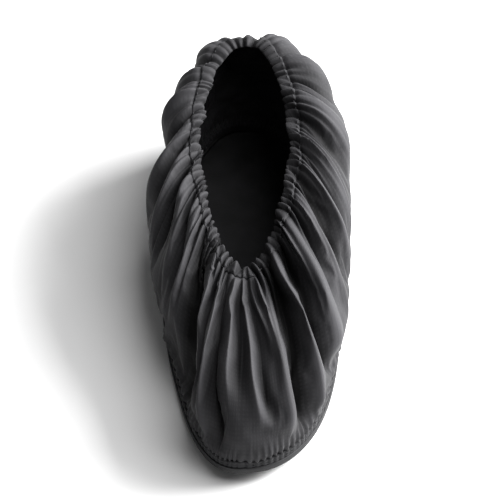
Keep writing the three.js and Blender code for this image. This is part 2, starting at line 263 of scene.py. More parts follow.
class UpperSizes(bpy.types.PropertyGroup):
    """Sizes of the gathered upper."""

    wall: length_size("Wall", "Thickness of the cloth", 0.001)
    mouth_length: length_size("Mouth length", "Front to back of the mouth", 0.176)
    mouth_breadth: length_size("Mouth breadth", "Across the mouth", 0.054)
    setback: length_size("Setback", "Sole's tip to the front of the mouth", 0.106)
    throat_roundness: bpy.props.FloatProperty(
        name="Throat roundness", description="Power that rounds the front of the mouth", default=0.56)
    back_roundness: bpy.props.FloatProperty(
        name="Back roundness", description="Power that rounds the back of the mouth", default=0.42)
    throat_height: length_size("Throat height", "Front of the mouth above the floor", 0.07)
    heel_height: length_size("Heel height", "Back of the mouth above the floor", 0.09)
    bulge: length_size("Bulge", "Furthest that the cloth stands out past the sole", 0.035)
    fold_depth: length_size("Fold depth", "Height of a full fold", 0.0055)


class CasingSizes(bpy.types.PropertyGroup):
    """Sizes of the ruffled elastic casing."""

    width: length_size("Width", "Width of the casing", 0.008)
    thickness: length_size("Thickness", "Thickness of the filled casing", 0.0027)
    wander: length_size("Unevenness", "How far the mouth's edge strays from an even curve", 0.0014)
    gather_pitch: length_size("Gather pitch", "Space from ruffle to ruffle", 0.0047)
    gather_depth: length_size("Gather depth", "Height of a ruffle", 0.0026)
    gather_length: length_size("Gather length", "How far the ruffles run down the upper", 0.019)


class BandSizes(bpy.types.PropertyGroup):
    """Sizes of the stitched band."""

    height: length_size("Height", "Height of the band", 0.0054)
    wall: length_size("Wall", "Thickness of the band", 0.002)
    pucker: length_size("Pucker", "Height of its puckers", 0.0004)
    pucker_pitch: length_size("Pucker pitch", "Space from pucker to pucker", 0.0058)
    stitch_length: length_size("Stitch length", "Length of a stitch", 0.0026)
    stitch_pitch: length_size("Stitch pitch", "Space from stitch to stitch", 0.0036)
    thread: length_size("Thread", "Thickness of the thread", 0.0006)


class Finishes(bpy.types.PropertyGroup):
    """Colours of the cloth, the thread and the sole."""

    cloth: finish_colour("Cloth", "Colour of the upper's cloth", (0.034, 0.0335, 0.036))
    band: finish_colour("Band", "Colour of the band", (0.028, 0.028, 0.03))
    thread: finish_colour("Thread", "Colour of the stitches", (0.042, 0.042, 0.045))
    sole: finish_colour("Sole", "Colour of the grip sole", (0.011, 0.011, 0.012))
    floor: finish_colour("Floor", "Colour of the floor", (0.86, 0.86, 0.86))


def smoothstep(value, low, high):
    """Runs smoothly from 0 at low to 1 at high."""
    share = np.clip((value - low) / (high - low), 0, 1)
    return share * share * (3 - 2 * share)


def read(table, key, at):
    """Reads a table at shares of the length, through a smooth curve."""
    places = np.array(table["at"], float)
    values = np.array(table[key], float)
    slopes = np.empty_like(values)
    slopes[1:-1] = (values[2:] - values[:-2]) / (places[2:] - places[:-2])
    slopes[0] = (values[1] - values[0]) / (places[1] - places[0])
    slopes[-1] = (values[-1] - values[-2]) / (places[-1] - places[-2])
    k = np.clip(np.searchsorted(places, at, side="right") - 1, 0, len(places) - 2)
    span = places[k + 1] - places[k]
    s = np.clip((at - places[k]) / span, 0, 1)
    s2 = s * s
    s3 = s2 * s
    start = (2 * s3 - 3 * s2 + 1) * values[k] + (s3 - 2 * s2 + s) * span * slopes[k]
    return start + (3 * s2 - 2 * s3) * values[k + 1] + (s3 - s2) * span * slopes[k + 1]


def wander(share, count, seed):
    """Smooth unevenness from -1 to 1 round a loop, through a number of seeded values."""
    values = np.random.default_rng(seed).uniform(-1, 1, count)
    place = np.mod(share, 1.0) * count
    k = np.floor(place).astype(int)
    s = place - k
    s = s * s * (3 - 2 * s)
    return values[k % count] * (1 - s) + values[(k + 1) % count] * s


def unit(vectors):
    """Scales vectors to length 1."""
    lengths = np.linalg.norm(vectors, axis=-1, keepdims=True)
    return vectors / np.maximum(lengths, 1e-12)


def arc_lengths(line):
    """Lengths along a line of places, from 0 at its start."""
    return np.concatenate([[0], np.cumsum(np.linalg.norm(np.diff(line, axis=0), axis=1))])


def even_turns(fine, arc, pitch):
    """Shares of the way round about a pitch apart, on a closed line whose arc lengths are known."""
    count = round(arc[-1] / pitch)
    return np.interp(np.arange(count) / count * arc[-1], arc, fine)


class Shape:
    """The overshoe's smooth form and its folds, worked out from the sizes that the panel shows."""

    def __init__(self, scene):
        self.sole = scene.overshoe_sole
        self.upper = scene.overshoe_upper
        self.casing = scene.overshoe_casing
        self.band = scene.overshoe_band
        edge = self.plain_outline(np.arange(512) / 512)
        middle = (edge.max(axis=0) + edge.min(axis=0)) / 2
        low, high = SOLE_BOX
        self.place = np.array([(low[0] + high[0]) / 2 - middle[0], (low[1] + high[1]) / 2 - middle[1], 0.0])

    def hem_height(self):
        """Height of the cloth's lower edge, inside the band."""
        return self.sole.edge_height + self.band.height - HEM_TUCK

    def hem_length(self):
        """Length of the hem round the sole."""
        hem = self.outline(np.linspace(0, 1, HEM_STEPS + 1), 0.0, 0.0)
        return np.linalg.norm(np.diff(hem, axis=0), axis=1).sum()

    def puckers(self, turn):
        """Evenly spaced puckers of the band's seam with a slight sway, from -1 to 1."""
        angle = 2 * np.pi * turn
        count = round(self.hem_length() / self.band.pucker_pitch)
        sway = 0.5 * np.sin(9 * angle) + 0.5 * np.sin(21 * angle + 1.0)
        return np.cos(count * angle + sway)

    def station(self, turn):
        """Share of the length from the toe, and the side, at a share of the way round."""
        turn = np.mod(turn, 1.0)
        half = np.where(turn <= 0.5, 2 * turn, 2 - 2 * turn)
        return (1 - np.cos(np.pi * half)) / 2, np.where(turn <= 0.5, 1.0, -1.0)

    def sided(self, table, right, left, turn):
        """Reads the right or the left column of a table, after the side."""
        at, side = self.station(turn)
        return np.where(side > 0, read(table, right, at), read(table, left, at))

    def plain_outline(self, turn):
        """The sole's outline, before it is set in its place."""
        at, side = self.station(turn)
        half = self.sole.breadth / 2 * self.sided(SOLE_TABLE, "right", "left", turn)
        lean = self.sole.lean * np.clip(1 - at / 0.18, 0, 1) ** 2
        x = side * np.power(4 * at * (1 - at), self.sole.roundness) * half + lean
        return np.stack([x, self.sole.length * (at - 0.5)], axis=-1)

    def outline(self, turn, offset, height):
        """The sole's outline moved out by an offset, at a height over the underside with its toe spring."""
        point = self.plain_outline(turn)
        along = unit(self.plain_outline(turn + TURN_STEP) - self.plain_outline(turn - TURN_STEP))
        x = point[..., 0] + along[..., 1] * offset
        y = point[..., 1] - along[..., 0] * offset
        return np.stack([x, y, height + self.spring(point[..., 1])], axis=-1) + self.place

    def spring(self, y):
        """Rise of the sole's underside at a place along it."""
        into = np.clip((self.sole.spring_length - self.sole.length / 2 - y) / self.sole.spring_length, 0, 1)
        return self.sole.spring * into * into

    def mouth_edge(self, turn):
        """The edge of the mouth, with the slight unevenness that the elastic leaves."""
        edge = self.even_mouth_edge(turn)
        arc, whole = self.mouth_arc(turn)
        share = arc / whole
        middle = np.array([self.place[0], self.place[1] + self.upper.setback - self.sole.length / 2, 0])
        middle[1] += self.upper.mouth_length / 2
        out = edge - middle
        out[:, 2] = 0
        edge = edge + unit(out) * (self.casing.wander * wander(share, 38, 5))[:, None]
        edge[:, 2] += self.casing.wander * wander(share, 30, 6)
        return edge

    def even_mouth_edge(self, turn):
        """The smooth curve that the mouth's edge follows."""
        at, side = self.station(turn)
        power = self.upper.throat_roundness
        power = power + (self.upper.back_roundness - power) * np.clip(2 * at, 0, 1)
        half = self.upper.mouth_breadth / 2 * read(MOUTH_TABLE, "half", at)
        half = half * np.power(4 * at * (1 - at), power)
        y = self.upper.setback - self.sole.length / 2 + self.upper.mouth_length * at
        rise = read(MOUTH_TABLE, "rise", at)
        z = self.upper.throat_height + (self.upper.heel_height - self.upper.throat_height) * rise
        return np.stack([side * half, y, z], axis=-1) + self.place

    def columns(self, turn, hem_height):
        """The smooth cloth's columns as fine lines from the hem to the mouth, and their arc lengths."""
        at, _ = self.station(turn)
        bulge = self.upper.bulge
        hem = self.outline(turn, 0.0, hem_height)
        mouth = self.mouth_edge(turn)
        out = hem - mouth
        out[:, 2] = 0
        out = unit(out)
        push = bulge * self.sided(STAND_TABLE, "right", "left", turn)[:, None]
        over = bulge * self.sided(STAND_TABLE, "over_right", "over_left", turn)[:, None]
        low = hem + out * push
        low[:, 2] += bulge * read(STAND_TABLE, "lift", at)
        high = mouth + out * over
        high[:, 2] += bulge * read(STAND_TABLE, "crown", at)
        t = np.linspace(0, 1, ARC_STEPS + 1)[None, :, None]
        line = (hem[:, None] * (1 - t) ** 3 + 3 * low[:, None] * t * (1 - t) ** 2
                + 3 * high[:, None] * t * t * (1 - t) + mouth[:, None] * t ** 3)
        steps = np.linalg.norm(np.diff(line, axis=1), axis=2)
        arcs = np.concatenate([np.zeros((len(turn), 1)), np.cumsum(steps, axis=1)], axis=1)
        return line, arcs

    def smooth_grid(self, turn, down, hem_height):
        """Points of the smooth cloth at distances below the mouth, and its directions up the columns."""
        line, arcs = self.columns(turn, hem_height)
        grid = np.empty((len(turn), down.shape[1], 3))
        upward = np.empty_like(grid)
        reach = 0.0012
        for i in range(len(turn)):
            wanted = arcs[i, -1] - down[i]
            low = np.clip(wanted - reach, 0, arcs[i, -1] - 2 * reach)
            for axis in range(3):
                grid[i, :, axis] = np.interp(wanted, arcs[i], line[i, :, axis])
                above = np.interp(low + 2 * reach, arcs[i], line[i, :, axis])
                upward[i, :, axis] = above - np.interp(low, arcs[i], line[i, :, axis])
        return grid, upward, arcs[:, -1]

    def mouth_arc(self, turn):
        """Length along the mouth's edge at each share of the way round, and the whole length."""
        fine = np.linspace(0, 1, EDGE_STEPS + 1)
        arc = arc_lengths(self.even_mouth_edge(fine))
        return np.interp(np.mod(turn, 1.0), fine, arc), arc[-1]

    def slant(self, turn):
        """Cosine of the angle between the columns and the mouth's edge that they run up to."""
        along = unit(self.even_mouth_edge(turn + TURN_STEP) - self.even_mouth_edge(turn - TURN_STEP))
        line, _ = self.columns(turn, self.hem_height())
        return np.sum(along * unit(line[:, -1] - line[:, -6]), axis=1)

    def casing_reach(self, turn):
        """Length of the casing down each column, so that its width is square to the mouth's edge."""
        return self.casing.width / np.sqrt(np.maximum(1 - self.slant(turn) ** 2, 0.35))

    def gathers(self, turn, down):
        """Height of the ruffles, which leave the elastic squarely and merge into broader ones below."""
        arc, whole = self.mouth_arc(turn)
        slant = self.slant(turn)[:, None]
        below = np.maximum(down, 0)
        share = (arc[:, None] - slant * RUFFLE_BEND * (1 - np.exp(-below / RUFFLE_BEND))) / whole
        below = below * np.sqrt(1 - slant ** 2)
        count = round(whole / self.casing.gather_pitch)
        at, _ = self.station(turn)
        # The ruffles are about twice as deep at the throat as at the heel.
        depth = self.casing.gather_depth * (1.25 - 0.6 * at)[:, None]
        length = self.casing.gather_length
        height = np.zeros_like(down)
        for merged, deep, far, start, seed in GATHERS:
            number = round(count / merged)
            sway = 0.34 * np.pi * wander(share, round(number / 1.6), seed)
            phase = number * np.pi * share + sway
            crease = np.sqrt(np.cos(phase) ** 2 + CREASE_ROUNDING) - CREASE_LEVEL
            swell = 1 + 0.55 * wander(share, round(number / 1.3), seed + 1)
            reach = length * far * (1 + 0.45 * wander(share, number, seed + 2))
            fade = np.exp(-np.power(below / reach, 1.7))
            if start > 0:
                fade = fade * smoothstep(below, 0, start)
            height += depth * deep * crease * swell * fade
        return height

    def folds(self, turn, up, way_round):
        """Height and sideways lean of the folds. up is the share of the column from the hem."""
        height = np.zeros_like(up)
        lean = np.zeros_like(up)
        for mouth, middle, hem, width, share, ends, tilt in FOLDS:
            centre = hem + (middle - hem) * smoothstep(up, 0, 0.5)
            centre = centre + (mouth - middle) * smoothstep(up, 0.5, 1)
            away = np.mod(turn[:, None] - centre + 0.5, 1) - 0.5
            # No fold is more than 1.6 times as high as it is wide.
            most = 1.6 * width * way_round
            full = np.clip(self.upper.fold_depth * share, -most, most)
            # Hollows are sharper than ridges.
            power = 2 if share > 0 else 1.45
            grown = smoothstep(up, ends, ends + (0.18 if ends < 0.15 else 0.3))
            bump = full * np.exp(-np.abs(away / width) ** power) * grown
            height += bump
            lean += tilt * bump
        # Near the mouth the folds give way to the ruffles.
        left = 1 - 0.7 * smoothstep(up, 0.75, 1)
        return height * left, lean * left

    def cloth(self, turn, down, hem_height):
        """The folded cloth's outer face, its outward directions, and the height of its folds."""
        grid, upward, lengths = self.smooth_grid(turn, down, hem_height)
        across = np.roll(grid, -1, axis=0) - np.roll(grid, 1, axis=0)
        out = unit(np.cross(across, upward))
        way_round = np.linalg.norm(across, axis=2) * len(turn) / 2
        up = np.clip(1 - down / lengths[:, None], 0, 1)
        height, lean = self.folds(turn, up, way_round)
        at, _ = self.station(turn)
        # Below the casing the ruffles open out, most of all at the throat.
        fuller = 0.4 + 1.0 * np.clip(1 - at / 0.4, 0, 1)[:, None]
        height = height + self.gathers(turn, down) * (1 + fuller * smoothstep(down, 0.006, 0.013))
        point = grid + out * height[..., None] + unit(across) * lean[..., None]
        return point, out, height

    def tube(self, turn, angle, hem_height):
        """Points of the casing at angles round its section: 0 at its stitches, half a turn at its edge."""
        across = 0.5 + 0.5 * np.cos(angle)
        flat = self.casing_reach(turn)[:, None] * across[None, :]
        ruffle = self.gathers(turn, flat) / self.casing.gather_depth
        down = flat - EDGE_SWAY * ruffle * (1 - across)[None, :]
        point, out, _ = self.cloth(turn, down, hem_height)
        sine = np.sin(angle)
        outer = sine > 0
        round_off = np.where(outer, np.power(np.abs(sine), 0.75), -np.abs(sine))
        fat = self.casing.thickness * (0.42 * round_off - 0.2)
        swell = np.where(outer, OUTER_SWELL, INNER_SWELL)[None, :] * ruffle * np.abs(sine)[None, :]
        return point + out * (fat[None, :] + swell)[..., None], out, ruffle


def new_piece(name, points, faces):
    """Makes a mesh object whose place is in its mesh."""
    mesh = bpy.data.meshes.new(name)
    mesh.from_pydata([tuple(p) for p in points], [], faces)
    mesh.update()
    piece = bpy.data.objects.new(name, mesh)
    bpy.context.scene.collection.objects.link(piece)
    return piece


def select_only(piece):
    """Makes one object the selected and active one."""
    bpy.ops.object.select_all(action="DESELECT")
    piece.select_set(True)
    bpy.context.view_layer.objects.active = piece


def grid_faces(columns, rows, closed_rows):
    """Faces of a grid that closes round its columns, and round its rows if asked."""
    faces = []
    for i in range(columns):
        n = (i + 1) % columns
        for j in range(rows if closed_rows else rows - 1):
            m = (j + 1) % rows
            faces.append((i * rows + j, n * rows + j, n * rows + m, i * rows + m))
    return faces


def lay_uv(piece, around, along):
    """Gives a closed grid its own cloth coordinates in metres, one pair to each corner."""
    mesh = piece.data
    layer = mesh.uv_layers.new(name="cloth")
    corners = np.empty(len(mesh.loops), dtype=np.int32)
    mesh.loops.foreach_get("vertex_index", corners)
    u = around[corners]
    v = along[corners]
    first = np.repeat(u.reshape(-1, 4)[:, :1], 4, axis=1).reshape(-1)
    whole = around.max() + around[around > 0].min()
    u = np.where(u - first < -whole / 2, u + whole, u)
    u = np.where(u - first > whole / 2, u - whole, u)
    layer.data.foreach_set("uv", np.stack([u, v], axis=-1).astype(np.float32).ravel())


def paint_fold_shade(piece, values):
    """Marks a piece's points from 0 in its hollows to 1 on its crests, for painted shade and painted light
    in its cloth's colour.
    """
    crest = piece.data.attributes.new("crest", "FLOAT", "POINT")
    crest.data.foreach_set("value", np.clip(values, 0, 1).reshape(-1).astype(np.float32))


def shade(piece, material):
    """Smooths a piece's shading and gives it its material."""
    piece.data.materials.clear()
    piece.data.materials.append(material)
    piece.data.shade_smooth()


def finish(piece, node):
    """Sets a piece on the overshoe's body, in the place of its node if it has one."""
    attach(piece, "root")
    if node:
        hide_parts(node)


class Nodes:
    """A short way to place and join the nodes of one material."""

    def __init__(self, name):
        self.material = bpy.data.materials.new(name)
        self.material.use_nodes = True
        self.tree = self.material.node_tree
        self.tree.nodes.clear()

    def add(self, kind, inputs=None, **settings):
        node = self.tree.nodes.new(kind)
        for key, value in settings.items():
            setattr(node, key, value)
        for key, value in (inputs or {}).items():
            if isinstance(value, bpy.types.NodeSocket):
                self.tree.links.new(value, node.inputs[key])
            else:
                node.inputs[key].default_value = value
        return node

    def math(self, operation, first, second):
        node = self.add("ShaderNodeMath", {0: first, 1: second}, operation=operation)
        return node.outputs[0]

    def weighted(self, *parts):
        """Adds values up, each times its weight."""
        total = self.math("MULTIPLY", *parts[0])
        for value, weight in parts[1:]:
            total = self.math("ADD", total, self.math("MULTIPLY", value, weight))
        return total

    def object_place(self):
        """The place on the piece, in metres."""
        return self.add("ShaderNodeTexCoord").outputs["Object"]

    def clouds(self, vector, scale, detail):
        """Smooth uneven values from 0 to 1."""
        node = self.add("ShaderNodeTexNoise", {"Vector": vector, "Scale": scale, "Detail": detail})
        return node.outputs["Fac"]

    def stripes(self, vector, direction):
        """Even threads of the weave, side by side along one direction."""
        inputs = {"Vector": vector, "Scale": 1 / (20 * WEAVE_THREAD), "Distortion": 0.0}
        node = self.add("ShaderNodeTexWave", inputs, wave_type="BANDS", bands_direction=direction,
                        wave_profile="SIN")
        return node.outputs["Fac"]

    def slubs(self, vector, stretch):
        """Long uneven threads: noise that is drawn out along one direction of the weave."""
        drawn = self.add("ShaderNodeMapping", {"Vector": vector, "Scale": stretch}).outputs[0]
        return self.clouds(drawn, 1.0, 2.0)

    def shades(self, value, colour, low, high, dark, light):
        """Runs from a darker to a lighter shade of a colour while a value goes from low to high."""
        node = self.add("ShaderNodeValToRGB", {"Fac": value})
        for end, place, share in zip(node.color_ramp.elements, (low, high), (dark, light)):
            end.position = place
            end.color = tuple(share * c for c in colour) + (1.0,)
        return node.outputs[0]

    def bump(self, height, strength, distance):
        """Gives small heights as the directions that the surface faces."""
        node = self.add("ShaderNodeBump", {"Height": height, "Strength": strength, "Distance": distance})
        return node.outputs[0]

    def shader(self, **inputs):
        named = {key.replace("_", " ").title(): value for key, value in inputs.items()}
        named = {key.replace("Ior", "IOR"): value for key, value in named.items()}
        surface = self.add("ShaderNodeBsdfPrincipled", named)
        output = self.add("ShaderNodeOutputMaterial")
        self.tree.links.new(surface.outputs[0], output.inputs[0])
        return surface


def cloth_material(name, colour, folded):
    """Matte woven cloth: a plain weave along its threads and slow clouds; folded cloth also gets painted
    shade in its hollows and painted light on its crests.
    """
    nodes = Nodes(name)
    uv = nodes.add("ShaderNodeUVMap", uv_map="cloth").outputs[0]
    weave = nodes.math("MULTIPLY", nodes.stripes(uv, "X"), nodes.stripes(uv, "Y"))
    across = nodes.slubs(uv, (1500.0, 110.0, 1.0))
    along = nodes.slubs(uv, (110.0, 1500.0, 1.0))
    slub = nodes.math("MULTIPLY", nodes.math("ADD", across, along), 0.5)
    cloud = nodes.clouds(nodes.object_place(), 45.0, 3.0)
    mixed = nodes.weighted((cloud, 0.45), (slub, 0.4), (weave, 0.15))
    # Painted shade and light: the crest value darkens the hollows and lightens the crests through the colour
    # ramp below.
    if folded:
        crest = nodes.add("ShaderNodeAttribute", attribute_name="crest").outputs["Fac"]
        mixed = nodes.weighted((mixed, 0.35), (crest, 0.65))
    shades = nodes.shades(mixed, colour, 0.25, 0.72, 0.1, 1.25)
    rough = nodes.math("ADD", nodes.math("MULTIPLY", slub, 0.18), 0.56)
    bump = nodes.bump(nodes.weighted((weave, 0.6), (slub, 1.6)), 0.7, 0.00011)
    nodes.shader(base_color=shades, roughness=rough, normal=bump, sheen_weight=0.06,
                 sheen_roughness=0.35, specular_ior_level=0.1)
    return nodes.material


def thread_material(colour):
    """Twisted thread."""
    nodes = Nodes("stitch_thread")
    twist = nodes.clouds(nodes.object_place(), 2600.0, 1.0)
    shades = nodes.shades(twist, colour, 0.0, 1.0, 0.7, 1.3)
    bump = nodes.bump(twist, 0.4, 0.0001)
    nodes.shader(base_color=shades, roughness=0.7, normal=bump, specular_ior_level=0.15)
    return nodes.material


def sole_material(colour):
    """Coated grip cloth: dark, slightly satin, with a fine pebbled skin and scuffs."""
    nodes = Nodes("sole_grip_skin")
    place = nodes.object_place()
    pebble = nodes.add("ShaderNodeTexVoronoi", {"Vector": place, "Scale": 900.0}).outputs["Distance"]
    scuff = nodes.clouds(place, 70.0, 4.0)
    shades = nodes.shades(scuff, colour, 0.35, 0.75, 0.8, 1.5)
    rough = nodes.math("ADD", nodes.math("MULTIPLY", scuff, 0.25), 0.45)
    bump = nodes.bump(pebble, 0.35, 0.0002)
    nodes.shader(base_color=shades, roughness=rough, normal=bump, specular_ior_level=0.22)
    return nodes.material


class OVERSHOE_OT_upper(bpy.types.Operator):
    """Drapes the upper from the hem to the casing in folds and fine gathers"""

    bl_idname = "overshoe.upper"
    bl_label = "Gathered upper"

    def execute(self, context):
        scene = context.scene
        shape = Shape(scene)
        turn = np.arange(UPPER_COLUMNS) / UPPER_COLUMNS
        hem_height = shape.hem_height()
        _, arcs = shape.columns(turn, hem_height)
        lengths = arcs[:, -1]
        reach = shape.casing_reach(turn)
        # The cloth ends inside the casing.
        top = (reach * 0.75)[:, None]
        # Its rows lie closer together towards the mouth.
        share = 1 - (1 - np.linspace(0, 1, UPPER_ROWS)) ** 1.35
        down = lengths[:, None] + (top - lengths[:, None]) * share[None, :]
        point, out, height = shape.cloth(turn, down, hem_height)
        below = down - reach[:, None]
        groove = -GROOVE_DEPTH * np.exp(-(below / GROOVE_WIDTH) ** 2)
        groove = groove - CASING_SINK * smoothstep(-below, 0, 0.001)
        wrinkle = self.wrinkles(turn, down, lengths, shape) * smoothstep(below, 0.002, 0.02)
        point = point + out * (groove + wrinkle)[..., None]
        upper = new_piece("upper_cloth", point.reshape(-1, 3), grid_faces(UPPER_COLUMNS, UPPER_ROWS, False))
        around = np.repeat(turn * shape.hem_length(), UPPER_ROWS)
        lay_uv(upper, around, (lengths[:, None] - down).reshape(-1))
        # Painted shade and light: the fold heights, kept as crest values, darken the hollows and lighten the
        # crests of the cloth's colour.
        paint_fold_shade(upper, 0.55 + height / (2.2 * shape.upper.fold_depth))
        # Held fully at the hem and the mouth, and hardly in between.
        near_hem = 1 - share[None, :] / 0.05
        near_mouth = 1 - (down - top) / shape.casing.gather_length
        self.relax(upper, np.clip(np.maximum(near_hem, near_mouth), 0.06, 1).reshape(-1))
        select_only(upper)
        wall = upper.modifiers.new("wall", "SOLIDIFY")
        wall.thickness = shape.upper.wall
        wall.offset = -1
        bpy.ops.object.modifier_apply(modifier=wall.name)
        shade(upper, cloth_material("woven_cloth", tuple(scene.overshoe_finishes.cloth), True))
        finish(upper, "upper")
        return {"FINISHED"}

    def relax(self, upper, held):
        """Lets the cloth, cut a little large, buckle where the hem and the elastic don't hold it."""
        group = upper.vertex_groups.new(name="held")
        for index, weight in enumerate(held):
            group.add([index], float(weight), "REPLACE")
        select_only(upper)
        cloth = upper.modifiers.new("cloth", "CLOTH")
        settings = cloth.settings
        settings.quality = 6
        settings.mass = 0.15
        settings.tension_stiffness = 15
        settings.compression_stiffness = 15
        settings.shear_stiffness = 5
        settings.bending_stiffness = 3.0
        settings.vertex_group_mass = "held"
        settings.pin_stiffness = 1.0
        settings.shrink_min = -0.02
        settings.air_damping = 3
        cloth.collision_settings.use_collision = False
        settings.effector_weights.gravity = 0
        scene = bpy.context.scene
        cloth.point_cache.frame_start = 1
        cloth.point_cache.frame_end = RELAX_FRAMES
        for step in range(1, RELAX_FRAMES + 1):
            scene.frame_set(step)
        bpy.ops.object.modifier_apply(modifier=cloth.name)
        scene.frame_set(1)

    def wrinkles(self, turn, down, lengths, shape):
        """Small soft unevenness of the cloth, and puckers over the band's seam."""
        up = lengths[:, None] - down
        soft = np.empty_like(down)
        for i, angle in enumerate(2 * np.pi * turn):
            x = SOFT_RADIUS * math.cos(angle)
            y = SOFT_RADIUS * math.sin(angle)
            for j in range(UPPER_ROWS):
                soft[i, j] = noise.noise(Vector((x, y, up[i, j] / SOFT_LENGTH)))
        pucker = shape.puckers(turn)[:, None] * np.exp(-(up / PUCKER_REACH) ** 2)
        uneven = (1 + 0.6 * wander(turn, 60, 3))[:, None]
        overhang = uneven * np.exp(-((up - OVERHANG_PLACE) / OVERHANG_SPREAD) ** 2)
        return SOFT_HEIGHT * soft + PUCKER_HEIGHT * pucker + OVERHANG_HEIGHT * overhang


class OVERSHOE_OT_casing(bpy.types.Operator):
    """Makes the ruffled tube that holds the elastic round the mouth"""

    bl_idname = "overshoe.casing"
    bl_label = "Elastic casing"

    def execute(self, context):
        scene = context.scene
        shape = Shape(scene)
        turn = np.arange(CASING_COLUMNS) / CASING_COLUMNS
        angle = np.arange(CASING_SIDES) / CASING_SIDES * 2 * np.pi
        point, _, ruffle = shape.tube(turn, angle, shape.hem_height())
        faces = grid_faces(CASING_COLUMNS, CASING_SIDES, True)
        casing = new_piece("casing_cloth", point.reshape(-1, 3), faces)
        _, whole = shape.mouth_arc(turn)
        around = np.repeat(turn * whole * 1.6, CASING_SIDES)
        along = np.abs(np.pi - angle) / np.pi * shape.casing.width * 1.1
        lay_uv(casing, around, np.tile(along, CASING_COLUMNS))
        # Painted shade and light: the ruffles' hollows are darkened and their crests lightened in the
        # casing's colour.
        paint_fold_shade(casing, 0.5 + 0.5 * ruffle)
        shade(casing, cloth_material("casing_weave", tuple(scene.overshoe_finishes.cloth), True))
        finish(casing, "elastic_casing")
        return {"FINISHED"}


class OVERSHOE_OT_band(bpy.types.Operator):
    """Makes the puckered band that joins the upper to the sole"""

    bl_idname = "overshoe.band"
    bl_label = "Stitched band"

    def execute(self, context):
        scene = context.scene
        shape = Shape(scene)
        band = shape.band
        turn = np.arange(BAND_COLUMNS) / BAND_COLUMNS
        low = shape.sole.edge_height - BAND_TUCK
        high = shape.sole.edge_height + band.height
        pucker = band.pucker * shape.puckers(turn)
        rings = []
        for out, up in BAND_SECTION:
            puff = pucker * (1 if out > 0.3 else 0.2) * (0.4 + 0.6 * up)
            height = low + (high - low) * up + 0.4 * pucker * up
            rings.append(shape.outline(turn, band.wall * out + puff, height))
        point = np.stack(rings, axis=1)
        sides = len(BAND_SECTION)
        piece = new_piece("band_cloth", point.reshape(-1, 3), grid_faces(BAND_COLUMNS, sides, True))
        around = np.repeat(turn * shape.hem_length(), sides)
        along = np.array([up for _, up in BAND_SECTION]) * band.height
        lay_uv(piece, around, np.tile(along, BAND_COLUMNS))
        shade(piece, cloth_material("band_weave", tuple(scene.overshoe_finishes.band), False))
        finish(piece, "seam_band")
        return {"FINISHED"}


def pick(piece, chosen):
    """Selects the chosen ones of a piece's vertices, and leaves it in edit mode."""
    bpy.ops.object.mode_set(mode="EDIT")
    bpy.ops.mesh.select_mode(type="VERT")
    bpy.ops.mesh.select_all(action="DESELECT")
    bpy.ops.object.mode_set(mode="OBJECT")
    piece.data.vertices.foreach_set("select", np.asarray(chosen, bool))
    bpy.ops.object.mode_set(mode="EDIT")


def places(piece):
    """The places of a piece's vertices."""
    points = np.empty(len(piece.data.vertices) * 3)
    piece.data.vertices.foreach_get("co", points)
    return points.reshape(-1, 3)


def start_cylinder(sides, width, depth):
    """Makes an upright cylinder round the origin, in edit mode with all of it selected."""
    bpy.ops.object.select_all(action="DESELECT")
    bpy.ops.mesh.primitive_cylinder_add(vertices=sides, radius=width / 2, depth=depth, location=(0, 0, 0))
    bpy.ops.object.mode_set(mode="EDIT")
    bpy.ops.mesh.select_all(action="SELECT")
    return bpy.context.object


def take_pattern(piece):
    """Gives a piece's points and faces, and removes it."""
    mesh = piece.data
    points = places(piece)
    faces = [tuple(face.vertices) for face in mesh.polygons]
    bpy.data.objects.remove(piece, do_unlink=True)
    bpy.data.meshes.remove(mesh)
    return points, faces


def repeat_pattern(name, copies, faces, material):
    """Makes a piece of the moved copies of a pattern, whose faces are the same in each."""
    size = len(copies[0])
    every = []
    for start in range(0, size * len(copies), size):
        every.extend(tuple(start + k for k in face) for face in faces)
    piece = new_piece(name, np.concatenate(copies), every)
    shade(piece, material)
    return piece


def model_stitch(length, thread):
    """One stitch: a short round thread whose ends dive into the cloth. Gives its points and faces."""
    stitch = start_cylinder(THREAD_SIDES, thread, length)
    bpy.ops.mesh.bisect(plane_co=(0, 0, 0), plane_no=(0, 0, 1))
    bpy.ops.object.mode_set(mode="OBJECT")
    pick(stitch, np.abs(places(stitch)[:, 2]) > length * 0.4)
    bpy.ops.transform.resize(value=(0.45, 0.45, 1))
    bpy.ops.transform.translate(value=(0, -thread * 0.7, 0))
    bpy.ops.object.mode_set(mode="OBJECT")
    return take_pattern(stitch)


def sew(name, line, out, length, thread, material):
    """Copies a stitch along a closed line of places, each facing out."""
    pattern, faces = model_stitch(length, thread)
    along = unit(np.roll(line, -1, axis=0) - np.roll(line, 1, axis=0))
    side = unit(np.cross(out, along))
    out = unit(np.cross(along, side))
    copies = [place + pattern[:, 2:3] * a + pattern[:, 0:1] * s + pattern[:, 1:2] * o
              for place, a, s, o in zip(line, along, side, out)]
    return repeat_pattern(name, copies, faces, material)


